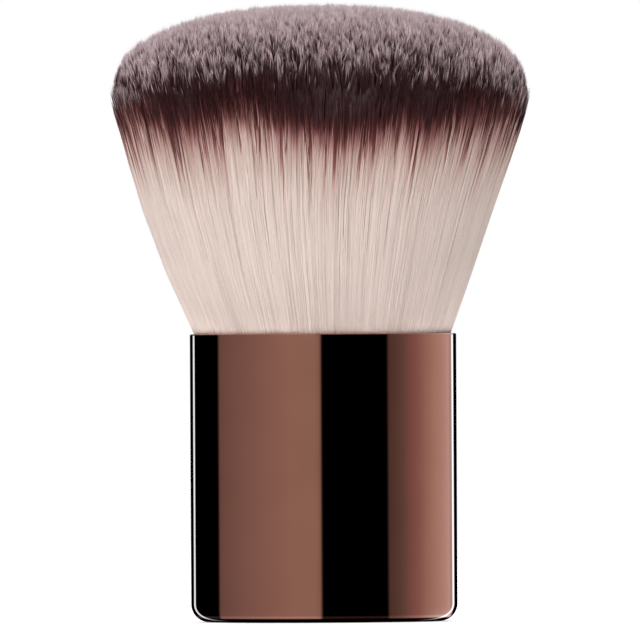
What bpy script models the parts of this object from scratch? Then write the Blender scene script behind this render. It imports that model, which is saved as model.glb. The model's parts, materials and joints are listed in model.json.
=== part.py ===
"""Powder brush: a short, wide kabuki brush that stands on its drawn metal handle.

The axis of the brush is +Z and the origin is the middle of the base. All sizes are in metres.
From the base up: a cup-shaped shell holds a steel weight on a rubber pad, a moulded pedestal on
the weight, and a ferrule on the pedestal. The ferrule holds the knot of hair, bound with cord and
potted in glue, and the free hair flares out of the rim into a domed crown.
"""

import math
import random

import bmesh
import bpy
from mathutils import Matrix, Vector

# Handle shell, a deep-drawn cup
HANDLE_DIAMETER = 0.0360
HANDLE_HEIGHT = 0.0389
SHELL_WALL = 0.0005
SHELL_FLOOR = 0.0008
BASE_EDGE_RADIUS = 0.0024
RIM_EDGE_RADIUS = 0.0002

# Room between one piece and the next
CLEARANCE = 0.0003

# Weight and its pad
PAD_THICKNESS = 0.0005
WEIGHT_THICKNESS = 0.0054
WEIGHT_TOP_CHAMFER = 0.0005

# Pedestal, moulded in one piece, as tall as the room between the weight and the ferrule
PEDESTAL_WALL = 0.0012
PEDESTAL_PLATE = 0.0018
PEDESTAL_BOSS_WALL = 0.0015
PEDESTAL_FOOT = 0.0010
WEB_THICKNESS = 0.0010
WEB_COUNT = 6
CRUSH_RIB_DEPTH = 0.0005
CRUSH_RIB_WIDTH = 0.0009
CRUSH_RIB_COUNT = 12

# Ferrule, a thin cup inside the shell
FERRULE_WALL = 0.0004
LIP_RECESS = 0.0025
LIP_HEIGHT = 0.0007
LIP_FLANGE = 0.0003
FERRULE_EDGE_RADIUS = 0.0012
VENT_RADIUS = 0.0020

# Glue under the knot
GLUE_THICKNESS = 0.0020
GLUE_KEY_REACH = 0.0012

# Knot, with a waist for the cord round it
KNOT_COLLAR = 0.0010
CORD_DIAMETER = 0.0008
CORD_PITCH = 0.0013
CORD_LOOPS = 4
CORD_BEND_RADIUS = 0.0012

# Free hair, with heights above the rim
HEAD_DIAMETER = 0.0562
HEAD_HEIGHT = 0.0447
SHOULDER_HEIGHT = 0.0318
COLOUR_LINE_HEIGHT = 0.0240
FLARE_BOW = 0.00068
TIP_LENGTH = 0.0024
TIP_UNEVENNESS = 0.0005
BACKING_LEDGE = 0.0006
BACKING_THICKNESS = 0.0033
STRANDS_ACROSS = 19
STRAND_SWIRL = math.radians(35)
LOWER_FILL_SHARE = 0.92
UPPER_FILL_SHARE = 0.84

# Fineness of the round forms
SHELL_STEPS = 96
INNER_STEPS = 64
EDGE_ARC_STEPS = 4
CORD_STEPS_PER_LOOP = 24
CORD_BEND_STEPS = 3
CORD_RING_FINENESS = 1
MERGE_DISTANCE = 0.000001
SHARP_ANGLE = math.radians(35)

# Radii that follow from the sizes above
shell_radius = HANDLE_DIAMETER / 2
bore_radius = shell_radius - SHELL_WALL
inner_corner = BASE_EDGE_RADIUS - SHELL_WALL
bundle_radius = bore_radius - CLEARANCE
ferrule_radius = bundle_radius - LIP_FLANGE
ferrule_bore = ferrule_radius - FERRULE_WALL
knot_radius = ferrule_bore - CLEARANCE
waist_radius = knot_radius - CORD_DIAMETER - CLEARANCE

# Heights that follow, from the floor of the shell up
pad_base = SHELL_FLOOR + CLEARANCE
weight_base = pad_base + PAD_THICKNESS + CLEARANCE
weight_top = weight_base + WEIGHT_THICKNESS
pedestal_base = weight_top + CLEARANCE

# Heights that follow, from the rim down
ferrule_top = HANDLE_HEIGHT - LIP_RECESS
ledge_base = ferrule_top + CLEARANCE
hair_base = ledge_base + BACKING_LEDGE
backing_base = hair_base - BACKING_THICKNESS
knot_top = backing_base - CLEARANCE
cord_drop = CORD_PITCH * CORD_LOOPS
waist_height = cord_drop + 2 * (CORD_BEND_RADIUS + CORD_DIAMETER + CLEARANCE)
waist_top = knot_top - KNOT_COLLAR
waist_base = waist_top - waist_height
knot_base = waist_base - KNOT_COLLAR
glue_top = knot_base - CLEARANCE
glue_base = glue_top - GLUE_THICKNESS
ferrule_base = glue_base - CLEARANCE - FERRULE_WALL
pedestal_top = ferrule_base - CLEARANCE


def clear_scene():
    for thing in list(bpy.data.objects):
        bpy.data.objects.remove(thing, do_unlink=True)


def make_material(name, colour, roughness, metallic):
    material = bpy.data.materials.new(name)
    material.use_nodes = True
    shader = material.node_tree.nodes["Principled BSDF"]
    shader.inputs["Base Color"].default_value = (*colour, 1)
    shader.inputs["Roughness"].default_value = roughness
    shader.inputs["Metallic"].default_value = metallic
    return material


def finish_object(name, shape, materials):
    """Turns a bmesh into an object with smooth round faces and sharp edges."""
    bmesh.ops.recalc_face_normals(shape, faces=shape.faces)
    mesh = bpy.data.meshes.new(name)
    shape.to_mesh(mesh)
    shape.free()
    for material in materials:
        mesh.materials.append(material)
    mesh.shade_smooth()
    mesh.set_sharp_from_angle(angle=SHARP_ANGLE)
    piece = bpy.data.objects.new(name, mesh)
    bpy.context.scene.collection.objects.link(piece)
    return piece


def arc(centre, radius, start, end):
    """Points of an arc in the outline's plane, from one angle in degrees to another."""
    points = []
    for step in range(EDGE_ARC_STEPS + 1):
        angle = math.radians(start + (end - start) * step / EDGE_ARC_STEPS)
        points.append((centre[0] + radius * math.cos(angle), centre[1] + radius * math.sin(angle)))
    return points


def turn(outline, steps):
    """Spins a closed outline of (radius, height) points round +Z and returns the closed shape."""
    shape = bmesh.new()
    ring = [shape.verts.new((radius, 0, height)) for radius, height in outline]
    edges = [shape.edges.new(pair) for pair in zip(ring, ring[1:])]
    if outline[0][0] or outline[-1][0]:
        edges.append(shape.edges.new((ring[-1], ring[0])))
    bmesh.ops.spin(
        shape, geom=ring + edges, axis=(0, 0, 1), cent=(0, 0, 0),
        steps=steps, angle=2 * math.pi, use_merge=True,
    )
    bmesh.ops.remove_doubles(shape, verts=shape.verts, dist=MERGE_DISTANCE)
    return shape


def add_box(shape, size, centre, turned):
    """Adds a box to a shape: its size and centre, then a turn round +Z."""
    place = Matrix.Rotation(turned, 4, "Z") @ Matrix.Translation(centre) @ Matrix.Diagonal((*size, 1))
    bmesh.ops.create_cube(shape, size=1, matrix=place)


def join_to(piece, helper_shape, name):
    """Adds a hidden helper to a piece with a Boolean union."""
    helper = finish_object(name, helper_shape, [])
    helper.hide_render = True
    helper.display_type = "WIRE"
    union = piece.modifiers.new(name, "BOOLEAN")
    union.operation = "UNION"
    union.solver = "EXACT"
    union.object = helper


def build_handle_shell():
    rim = HANDLE_HEIGHT - RIM_EDGE_RADIUS
    corner = (shell_radius - BASE_EDGE_RADIUS, BASE_EDGE_RADIUS)
    inner = (bore_radius - inner_corner, SHELL_FLOOR + inner_corner)
    outline = [(0, 0)]
    outline += arc(corner, BASE_EDGE_RADIUS, -90, 0)
    outline += arc((shell_radius - RIM_EDGE_RADIUS, rim), RIM_EDGE_RADIUS, 0, 90)
    outline += [(bore_radius, HANDLE_HEIGHT)]
    outline += arc(inner, inner_corner, 0, -90)
    outline += [(0, SHELL_FLOOR)]
    bronze = make_material("bronze anodised aluminium", (0.50, 0.24, 0.175), 0.08, 1)
    finish_object("handle_shell", turn(outline, SHELL_STEPS), [bronze])


def build_weight_pad():
    radius = bore_radius - inner_corner - CLEARANCE
    top = pad_base + PAD_THICKNESS
    outline = [(0, pad_base), (radius, pad_base), (radius, top), (0, top)]
    rubber = make_material("grey adhesive rubber", (0.30, 0.30, 0.29), 0.9, 0)
    finish_object("weight_pad", turn(outline, INNER_STEPS), [rubber])


def build_base_weight():
    """The lower chamfer clears the rounded inside corner of the shell."""
    radius = bore_radius - CLEARANCE
    outline = [
        (0, weight_base),
        (radius - inner_corner, weight_base),
        (radius, weight_base + inner_corner),
        (radius, weight_top - WEIGHT_TOP_CHAMFER),
        (radius - WEIGHT_TOP_CHAMFER, weight_top),
        (0, weight_top),
    ]
    steel = make_material("zinc plated steel", (0.55, 0.56, 0.58), 0.38, 1)
    finish_object("base_weight", turn(outline, INNER_STEPS), [steel])


def build_pedestal():
    """A ring wall and a boss under one plate, tied by webs, with crush ribs on the outside."""
    wall_radius = bore_radius - CLEARANCE - CRUSH_RIB_DEPTH
    wall_inside = wall_radius - PEDESTAL_WALL
    boss_radius = VENT_RADIUS + PEDESTAL_BOSS_WALL
    plate_base = pedestal_top - PEDESTAL_PLATE
    web_base = pedestal_base + PEDESTAL_FOOT
    outline = [
        (VENT_RADIUS, pedestal_top),
        (wall_radius, pedestal_top),
        (wall_radius, pedestal_base),
        (wall_inside, pedestal_base),
        (wall_inside, plate_base),
        (boss_radius, plate_base),
        (boss_radius, web_base),
        (VENT_RADIUS, web_base),
    ]
    black = make_material("black moulded plastic", (0.02, 0.02, 0.022), 0.55, 0)
    piece = finish_object("pedestal", turn(outline, INNER_STEPS), [black])

    ribs = bmesh.new()
    web_inside = VENT_RADIUS + PEDESTAL_BOSS_WALL / 2
    web_outside = wall_radius - PEDESTAL_WALL / 2
    web_top = pedestal_top - PEDESTAL_PLATE / 2
    web_size = (web_outside - web_inside, WEB_THICKNESS, web_top - web_base)
    web_centre = ((web_outside + web_inside) / 2, 0, (web_top + web_base) / 2)
    for index in range(WEB_COUNT):
        add_box(ribs, web_size, web_centre, 2 * math.pi * index / WEB_COUNT)
    rib_inside = wall_radius - PEDESTAL_WALL / 2
    rib_outside = wall_radius + CRUSH_RIB_DEPTH
    rib_top = pedestal_top - PEDESTAL_PLATE / 2
    rib_base = pedestal_base + PEDESTAL_FOOT
    rib_size = (rib_outside - rib_inside, CRUSH_RIB_WIDTH, rib_top - rib_base)
    rib_centre = ((rib_outside + rib_inside) / 2, 0, (rib_top + rib_base) / 2)
    for index in range(CRUSH_RIB_COUNT):
        add_box(ribs, rib_size, rib_centre, 2 * math.pi * (index + 0.5) / CRUSH_RIB_COUNT)
    join_to(piece, ribs, "pedestal ribs")


def build_ferrule():
    """A drawn cup with a vent hole in its floor and a lip turned out at its mouth."""
    outer_corner = (ferrule_radius - FERRULE_EDGE_RADIUS, ferrule_base + FERRULE_EDGE_RADIUS)
    inner_edge = FERRULE_EDGE_RADIUS - FERRULE_WALL
    lip_radius = ferrule_radius + LIP_FLANGE
    lip_base = ferrule_top - LIP_HEIGHT
    outline = [(VENT_RADIUS, ferrule_base)]
    outline += arc(outer_corner, FERRULE_EDGE_RADIUS, -90, 0)
    outline += [(ferrule_radius, lip_base - LIP_FLANGE), (lip_radius, lip_base)]
    outline += [(lip_radius, ferrule_top - LIP_FLANGE), (ferrule_radius, ferrule_top)]
    outline += [(ferrule_bore, ferrule_top)]
    outline += arc(outer_corner, inner_edge, 0, -90)
    outline += [(VENT_RADIUS, ferrule_base + FERRULE_WALL)]
    silver = make_material("plain aluminium", (0.80, 0.80, 0.81), 0.30, 1)
    finish_object("ferrule", turn(outline, INNER_STEPS), [silver])


def build_epoxy_plug():
    """Its key runs down the vent hole and the pedestal's boss, which locks the ferrule down."""
    radius = knot_radius - FERRULE_EDGE_RADIUS
    key_radius = VENT_RADIUS - CLEARANCE
    key_base = pedestal_top - GLUE_KEY_REACH
    outline = [
        (0, key_base),
        (key_radius, key_base),
        (key_radius, glue_base),
        (radius, glue_base),
        (knot_radius, glue_base + FERRULE_EDGE_RADIUS),
        (knot_radius, glue_top),
        (0, glue_top),
    ]
    amber = make_material("amber epoxy", (0.45, 0.30, 0.12), 0.25, 0)
    finish_object("epoxy_plug", turn(outline, INNER_STEPS), [amber])


def build_knot_root():
    outline = [
        (0, knot_base),
        (knot_radius, knot_base),
        (knot_radius, waist_base),
        (waist_radius, waist_base),
        (waist_radius, waist_top),
        (knot_radius, waist_top),
        (knot_radius, knot_top),
        (0, knot_top),
    ]
    potted = make_material("potted hair root", (0.62, 0.50, 0.36), 0.45, 0)
    finish_object("knot_root", turn(outline, INNER_STEPS), [potted])


def cord_route():
    """Centre line of the cord: a straight end, a quarter bend, the loops, and the same again."""
    radius = waist_radius + CLEARANCE + CORD_DIAMETER / 2
    bend_angle = CORD_BEND_RADIUS / radius
    bend_top = waist_top - CLEARANCE - CORD_DIAMETER
    loops_top = bend_top - CORD_BEND_RADIUS
    loops_angle = 2 * math.pi * CORD_LOOPS
    route = [(-bend_angle, waist_top - CLEARANCE)]
    for step in range(CORD_BEND_STEPS):
        bend = math.pi / 2 * step / CORD_BEND_STEPS
        route.append((-bend_angle * math.cos(bend), bend_top - CORD_BEND_RADIUS * math.sin(bend)))
    steps = CORD_STEPS_PER_LOOP * CORD_LOOPS
    for step in range(steps + 1):
        share = step / steps
        route.append((loops_angle * share, loops_top - cord_drop * share))
    bend_base = waist_base + CLEARANCE + CORD_DIAMETER
    for step in range(1, CORD_BEND_STEPS + 1):
        bend = math.pi / 2 * step / CORD_BEND_STEPS
        drop = CORD_BEND_RADIUS * (1 - math.cos(bend))
        route.append((loops_angle + bend_angle * math.sin(bend), bend_base + CORD_BEND_RADIUS - drop))
    route.append((loops_angle + bend_angle, waist_base + CLEARANCE))
    return [Vector((radius * math.cos(a), radius * math.sin(a), height)) for a, height in route]


def print_least_gap(route):
    """The least distance between two loops, on points at least half a loop apart."""
    apart = CORD_STEPS_PER_LOOP // 2
    least = min(
        (first - second).length
        for index, first in enumerate(route)
        for second in route[index + apart:]
    )
    print(f"binding_cord: least gap to itself {(least - CORD_DIAMETER) * 1000:.2f} mm")


def build_binding_cord():
    route = cord_route()
    print_least_gap(route)
    curve = bpy.data.curves.new("binding_cord", "CURVE")
    curve.dimensions = "3D"
    spline = curve.splines.new("POLY")
    spline.points.add(len(route) - 1)
    for point, place in zip(spline.points, route):
        point.co = (*place, 1)
    curve.bevel_depth = CORD_DIAMETER / 2
    curve.bevel_resolution = CORD_RING_FINENESS
    curve.use_fill_caps = True
    curve.materials.append(make_material("waxed thread", (0.70, 0.66, 0.58), 0.7, 0))
    piece = bpy.data.objects.new("binding_cord", curve)
    bpy.context.scene.collection.objects.link(piece)


def disc_share(across, along):
    """A point of the unit square moved into the unit circle, so that square rings become round.

    The rings are then swirled, so that no straight gap runs through the bundle.
    """
    if abs(across) > abs(along):
        ring, angle = across, math.pi / 4 * along / across
    elif along:
        ring, angle = along, math.pi / 2 - math.pi / 4 * across / along
    else:
        ring, angle = 0, 0
    angle += STRAND_SWIRL * abs(ring)
    return Vector((ring * math.cos(angle), ring * math.sin(angle), 0))


def flare_radius(height):
    """Outside of the bundle of hair at a height above the rim: a straight flare with a slight bow."""
    share = height / SHOULDER_HEIGHT
    straight = bundle_radius + (HEAD_DIAMETER / 2 - bundle_radius) * share
    return straight + 4 * FLARE_BOW * share * (1 - share)


def crown_height(radius_share):
    """Height above the rim at which a strand ends: half an ellipse over the shoulder."""
    rise_share = math.sqrt(max(0, 1 - radius_share**2))
    return SHOULDER_HEIGHT + (HEAD_HEIGHT - SHOULDER_HEIGHT) * rise_share


def build_bristle_head():
    """Each cell of a grid, rounded into a disc, is drawn up into a strand of its own.

    Neighbours share only the edge between their roots, and open into a narrow V above it, so the
    bundle stays one body and no strand crosses another. The backing lies over the ferrule's lip
    and has a neck that goes down into the ferrule.
    """
    slope = (flare_radius(COLOUR_LINE_HEIGHT) - bundle_radius) / COLOUR_LINE_HEIGHT
    root_radius = bundle_radius - slope * (HANDLE_HEIGHT - hair_base)

    shape = bmesh.new()
    home = shape.verts.layers.float_vector.new("place in the disc")
    bmesh.ops.create_grid(shape, x_segments=STRANDS_ACROSS, y_segments=STRANDS_ACROSS, size=1)
    for vert in shape.verts:
        share = disc_share(vert.co.x, vert.co.y)
        vert[home] = share
        vert.co = share * root_radius + Vector((0, 0, hair_base))
    cells = list(shape.faces)

    for height in (ledge_base, backing_base):
        edges = [edge for edge in shape.edges if edge.is_boundary]
        wall = bmesh.ops.extrude_edge_only(shape, edges=edges)["geom"]
        for item in wall:
            if isinstance(item, bmesh.types.BMVert):
                item.co = item[home] * knot_radius + Vector((0, 0, height))
    lower_edges = [edge for edge in shape.edges if edge.is_boundary]
    bmesh.ops.contextual_create(shape, geom=lower_edges)

    def draw_up(caps, tone, fill_share, height_at):
        """Draws each cap up by itself to the height that its place in the disc gives.

        Each is drawn in about its own middle, and all are spread so that the outer ones still
        reach the outside of the flare.
        """
        spread = 1 - (1 - fill_share) / STRANDS_ACROSS
        drawn = bmesh.ops.extrude_discrete_faces(shape, faces=caps)["faces"]
        for cap in drawn:
            middle = sum((vert[home] for vert in cap.verts), Vector()) / len(cap.verts)
            for vert in cap.verts:
                share = (middle + (vert[home] - middle) * fill_share) / spread
                height = height_at(share.length)
                vert.co = share * flare_radius(height) + Vector((0, 0, HANDLE_HEIGHT + height))
            cap.material_index = tone
        return drawn

    def neck_height(share):
        """Height at which a strand starts to narrow to its tip, which the outer ones reach widest."""
        return max(SHOULDER_HEIGHT, crown_height(share) - TIP_LENGTH)

    caps = draw_up(cells, 1, LOWER_FILL_SHARE, lambda share: COLOUR_LINE_HEIGHT)
    caps = draw_up(caps, 2, UPPER_FILL_SHARE, neck_height)
    tips = bmesh.ops.poke(shape, faces=caps)["verts"]
    uneven = random.Random(STRANDS_ACROSS)
    for tip in tips:
        share = sum((edge.other_vert(tip)[home] for edge in tip.link_edges), Vector())
        share /= len(tip.link_edges)
        height = crown_height(share.length) - TIP_UNEVENNESS * uneven.random()
        tip.co = share * flare_radius(height) + Vector((0, 0, HANDLE_HEIGHT + height))
    print(f"bristle_head: {len(tips)} strands")

    tones = [
        make_material("cream fibre", (0.68, 0.56, 0.50), 0.6, 0),
        make_material("dark brown fibre", (0.045, 0.018, 0.018), 0.55, 0),
        make_material("mauve grey fibre tips", (0.32, 0.24, 0.25), 0.6, 0),
    ]
    finish_object("bristle_head", shape, tones)


clear_scene()
build_handle_shell()
build_weight_pad()
build_base_weight()
build_pedestal()
build_ferrule()
build_epoxy_plug()
build_knot_root()
build_binding_cord()
build_bristle_head()
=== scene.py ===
# %% [markdown]
# # A powder brush and its studio
#
# This lesson dresses a short kabuki powder brush. The solid parts are ready: a drawn metal
# handle with a weight and a ferrule inside it, and a head of coarse strands that stands for the
# hair. What they lack is a mirror finish with no facets, and tens of thousands of fine fibres
# dyed in three tones.
#
# The first step loads the solid parts as a fixed frame. Nothing in it moves. Lengths are in
# metres, the middle of the base is the origin, and +Z points up along the brush.

# %% Load the solid parts
import json
import math

import bmesh
import bpy
import numpy as np
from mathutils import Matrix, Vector

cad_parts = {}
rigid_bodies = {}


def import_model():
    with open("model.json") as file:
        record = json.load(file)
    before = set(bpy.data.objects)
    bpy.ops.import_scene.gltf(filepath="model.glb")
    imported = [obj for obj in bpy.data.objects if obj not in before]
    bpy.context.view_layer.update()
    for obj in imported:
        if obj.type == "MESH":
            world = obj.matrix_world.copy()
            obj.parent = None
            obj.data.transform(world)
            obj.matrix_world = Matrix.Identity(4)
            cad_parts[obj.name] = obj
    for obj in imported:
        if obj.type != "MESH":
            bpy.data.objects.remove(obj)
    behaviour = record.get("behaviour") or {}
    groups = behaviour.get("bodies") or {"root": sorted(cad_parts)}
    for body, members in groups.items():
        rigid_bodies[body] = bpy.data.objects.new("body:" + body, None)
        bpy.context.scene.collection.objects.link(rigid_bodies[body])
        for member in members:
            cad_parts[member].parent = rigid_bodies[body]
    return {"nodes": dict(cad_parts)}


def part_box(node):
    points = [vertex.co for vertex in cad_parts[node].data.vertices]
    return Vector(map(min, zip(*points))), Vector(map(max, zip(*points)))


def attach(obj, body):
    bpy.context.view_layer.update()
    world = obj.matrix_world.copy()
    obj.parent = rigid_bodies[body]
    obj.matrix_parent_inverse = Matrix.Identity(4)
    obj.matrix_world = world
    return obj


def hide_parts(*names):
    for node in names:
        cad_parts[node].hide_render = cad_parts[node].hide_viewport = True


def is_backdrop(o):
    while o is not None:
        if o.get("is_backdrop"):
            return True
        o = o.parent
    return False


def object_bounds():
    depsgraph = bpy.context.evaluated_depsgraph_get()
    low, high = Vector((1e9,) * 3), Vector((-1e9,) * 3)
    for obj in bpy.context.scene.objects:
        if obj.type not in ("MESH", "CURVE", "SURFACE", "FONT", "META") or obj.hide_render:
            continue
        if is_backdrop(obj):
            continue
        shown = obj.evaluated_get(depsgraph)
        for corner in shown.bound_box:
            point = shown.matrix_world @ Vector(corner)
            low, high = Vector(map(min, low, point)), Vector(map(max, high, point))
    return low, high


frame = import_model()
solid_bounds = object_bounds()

MM = 0.001
print("solid parts:", ", ".join(sorted(frame["nodes"])))

# %% [markdown]
# ## Sizes
#
# The handle's radius and height are read from the solid's box, so the new pieces can't drift
# from it. A box says nothing of walls, edges and the outline of the hair, so those sizes are
# named here. The hair rises in a straight flare with a slight bow up to the shoulder, and a
# dome closes it. The outermost fibres stand a little off the wall of the handle.

# %% Take the sizes from the solid parts
shell_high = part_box("handle_shell")[1]
handle_radius = shell_high.x
rim_height = shell_high.z
shell_wall = 0.5 * MM
shell_floor = 0.8 * MM
base_edge_radius = 2.4 * MM
rim_edge_radius = 0.2 * MM

head_radius = 28.1 * MM
hair_rim_gap = 0.12 * MM
hair_rim_radius = handle_radius - shell_wall - hair_rim_gap
shoulder_height = 31.8 * MM
crown_rise = 12.9 * MM
flare_bow = 0.68 * MM
print(f"handle {2 * handle_radius / MM:.1f} mm across and {rim_height / MM:.1f} mm tall")

# %% [markdown]
# ## Camera
#
# The picture was taken with a long lens from far away: the rim of the handle looks straight,
# so the lens stood level with it, and the sides of the handle don't converge. A camera at 3.5 m
# with a long lens gives the same flat look. It stands no farther, because views from other sides
# keep this lens and would be blank beyond about 4 m. The handle's width in pixels sets the scale,
# and a small roll gives the slight lean of the brush.

# %% Place the camera
def add_object(name, data):
    """A new object that shows some data, in the scene."""
    made = bpy.data.objects.new(name, data)
    bpy.context.scene.collection.objects.link(made)
    return made


PHOTO_PIXELS = 640
HANDLE_PIXELS = 266.4
RIM_ROW = 333.6
AXIS_COLUMN = 322.9
CAMERA_DISTANCE = 3.5
CAMERA_ROLL = math.radians(0.30)
FARTHEST_DRAWN = 20

pixel = 2 * handle_radius / HANDLE_PIXELS
camera_data = bpy.data.cameras.new("portrait camera")
camera_data.lens = camera_data.sensor_width * CAMERA_DISTANCE / (PHOTO_PIXELS * pixel)
camera_data.clip_end = FARTHEST_DRAWN
camera = add_object("portrait camera", camera_data)
middle = PHOTO_PIXELS / 2
camera.location = (
    (middle - AXIS_COLUMN) * pixel,
    -CAMERA_DISTANCE,
    rim_height + (RIM_ROW - middle) * pixel,
)
camera.rotation_euler = (math.pi / 2, CAMERA_ROLL, 0)
bpy.context.scene.camera = camera
print(f"lens {camera_data.lens:.0f} mm, one pixel is {pixel / MM:.3f} mm")

# %% [markdown]
# ## Nodes in few words
#
# A material is a graph of nodes. Four short helpers keep the graphs readable: one adds a node,
# one gives a socket its value, one adds a calculation and one a colour ramp. A value may be a
# number or the output of another node.

# %% Helpers for node graphs
def add_node(tree, kind, **settings):
    made = tree.nodes.new(kind)
    for name, value in settings.items():
        setattr(made, name, value)
    return made


def plug(tree, value, socket):
    if isinstance(value, bpy.types.NodeSocket):
        tree.links.new(value, socket)
    else:
        socket.default_value = value


def calculate(tree, operation, *values):
    made = add_node(tree, "ShaderNodeMath", operation=operation)
    for value, socket in zip(values, made.inputs):
        plug(tree, value, socket)
    return made.outputs[0]


def ramp(tree, value, stops):
    """A colour ramp from (place, grey or colour) stops."""
    made = add_node(tree, "ShaderNodeValToRGB")
    elements = made.color_ramp.elements
    while len(elements) < len(stops):
        elements.new(1)
    for element, (place, tone) in zip(elements, stops):
        element.position = place
        element.color = (*tone, 1) if hasattr(tone, "__len__") else (tone, tone, tone, 1)
    plug(tree, value, made.inputs[0])
    return made.outputs[0]


# %% [markdown]
# ## Studio
#
# A polished handle shows its surroundings, so the studio is half of its look. Product
# photographers put a bronze tube between large soft boxes and black flags: the boxes give the
# broad warm bands and the flags the black ones between them, with a thin strip light behind at
# each side. It is simplest to paint these surroundings on the world, by direction, and to show
# them to reflections alone. The camera sees plain white.
#
# A wall that faces halfway between the camera and a light mirrors that light. So the lights are
# laid out by the compass direction that such a wall faces, doubled. That lets their edges run
# together far behind the brush, and the bands stay upright down to the rounded edge of the base.

# %% List the surroundings
# A colour ramp holds no more than 1, so it holds shares of this brightness
REFLECTION_PEAK = 3.0
WALL_LEVEL = 0.72
EDGE_LEAN = 0.094
PLAIN = (1.0, 1.0, 1.0)
ROSY = (1.0, 0.84, 0.88)
STRAW = (1.0, 1.07, 1.02)
COOL = (0.68, 1.00, 1.14)
# Compass direction in degrees (0 towards the camera, negative to its left), brightness and tint
surroundings = (
    (-104.5, 0.00, PLAIN), (-102.0, 0.26, PLAIN), (-75.0, 0.36, PLAIN), (-50.0, 0.45, PLAIN),
    (-28.0, 0.51, STRAW), (-8.0, 0.50, STRAW), (-3.4, 0.43, STRAW), (-1.3, 0.00, STRAW),
    (57.0, 0.00, PLAIN), (59.0, 0.14, PLAIN), (64.0, 0.16, PLAIN), (73.0, 0.22, PLAIN),
    (82.0, 0.35, ROSY), (91.0, 0.44, ROSY), (101.0, 0.56, PLAIN), (113.0, 0.68, STRAW),
    (127.0, 0.79, PLAIN), (140.0, 0.85, PLAIN), (142.0, 0.64, PLAIN), (150.0, 0.64, PLAIN),
    (152.0, 0.00, PLAIN),
)
# Strip lights: how far a wall that mirrors them turns to the camera, 0 edge on, and brightness
left_strip = (0.218, 0.260, 2.00)
right_strip = (0.227, 0.270, 2.30)
STRIP_BLUR = 0.005
AMBIENT_LEVEL = 0.72
print(f"surroundings: {len(surroundings)} stops round the compass")

# %% Find which way a mirroring wall faces
bpy.context.scene.view_settings.view_transform = "Standard"
world = bpy.data.worlds.new("studio")
bpy.context.scene.world = world
world.use_nodes = True
sky = world.node_tree
sky.nodes.clear()
direction = add_node(sky, "ShaderNodeTexCoord").outputs["Generated"]
halfway = add_node(sky, "ShaderNodeVectorMath", operation="ADD")
sky.links.new(direction, halfway.inputs[0])
halfway.inputs[1].default_value = (0, -1, 0)
wall = add_node(sky, "ShaderNodeVectorMath", operation="NORMALIZE")
sky.links.new(halfway.outputs[0], wall.inputs[0])
parts = add_node(sky, "ShaderNodeSeparateXYZ")
sky.links.new(wall.outputs[0], parts.inputs[0])
towards_camera = calculate(sky, "MULTIPLY", parts.outputs["Y"], -1.0)
compass = calculate(sky, "ARCTAN2", parts.outputs["X"], towards_camera)
# The rounded edge draws in under the wall, and the lights' edges lean out to make up for it
lean_out = calculate(sky, "MULTIPLY", parts.outputs["Z"], parts.outputs["Z"])
lean_out = calculate(sky, "MULTIPLY_ADD", lean_out, -EDGE_LEAN, 1.0)
compass = calculate(sky, "MULTIPLY", compass, lean_out)
turn_share = calculate(sky, "MULTIPLY_ADD", compass, 1 / math.pi, 0.5)

# %% Paint the bands, the rounded edges and the strip lights
bands = ramp(sky, turn_share, [
    ((angle + 180) / 360, [level * part / REFLECTION_PEAK for part in tint])
    for angle, level, tint in surroundings
])
# The rounded edge faces down: a brighter line from the table's edge, then the dark below it
facing_down = calculate(sky, "MULTIPLY", parts.outputs["Z"], -1.0)
strength = ramp(sky, facing_down, [
    (0.0, WALL_LEVEL), (0.60, WALL_LEVEL), (0.68, 1.0), (0.74, 1.0), (0.80, 0.0),
])
table_edge = ramp(sky, facing_down, [(0.62, 0.0), (0.68, 0.05), (0.74, 0.05), (0.79, 0.0)])
# The rim faces up, to a pale ceiling, and throws some of its light on the roots of the hair
ceiling = ramp(sky, parts.outputs["Z"], [(0.25, 0.0), (0.50, 0.20)])
above_and_below = calculate(sky, "ADD", table_edge, ceiling)
# The strip lights follow the outline, round the lower corners too, and stop at the rim
side = calculate(sky, "SIGN", parts.outputs["X"])
strip_place = calculate(sky, "MULTIPLY_ADD", calculate(sky, "MULTIPLY", side, towards_camera), 0.5, 0.5)
strip_stops = []
for sign, (near, far, level) in ((-1, left_strip), (1, right_strip)):
    tone = [level * part / REFLECTION_PEAK for part in COOL]
    for turn, tint in ((near - STRIP_BLUR, 0), (near, tone), (far, tone), (far + STRIP_BLUR, 0)):
        strip_stops.append(((sign * turn + 1) / 2, tint))
strips = ramp(sky, strip_place, sorted(strip_stops, key=lambda stop: stop[0]))
strip_fade = ramp(sky, facing_down, [(0.0, 1.0), (0.72, 0.9), (0.82, 0.4), (0.92, 0.0)])
strip_fade = calculate(sky, "MULTIPLY", strip_fade, calculate(sky, "GREATER_THAN", facing_down, -0.1))
print(f"strip lights: {len(strip_stops)} stops from edge to edge")

# %% Show them to reflections alone
WHITE = (1, 1, 1, 1)
PALE_GREY = (0.8, 0.8, 0.8, 1)


def background(colour, strength):
    made = add_node(sky, "ShaderNodeBackground")
    plug(sky, colour, made.inputs["Color"])
    plug(sky, strength, made.inputs["Strength"])
    return made.outputs[0]


def join(*lights):
    """Adds two lights. With a share before them it picks the first at 0 and the second at 1."""
    made = add_node(sky, "ShaderNodeAddShader" if len(lights) == 2 else "ShaderNodeMixShader")
    for light, socket in zip(lights, made.inputs):
        sky.links.new(light, socket)
    return made.outputs[0]


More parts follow.
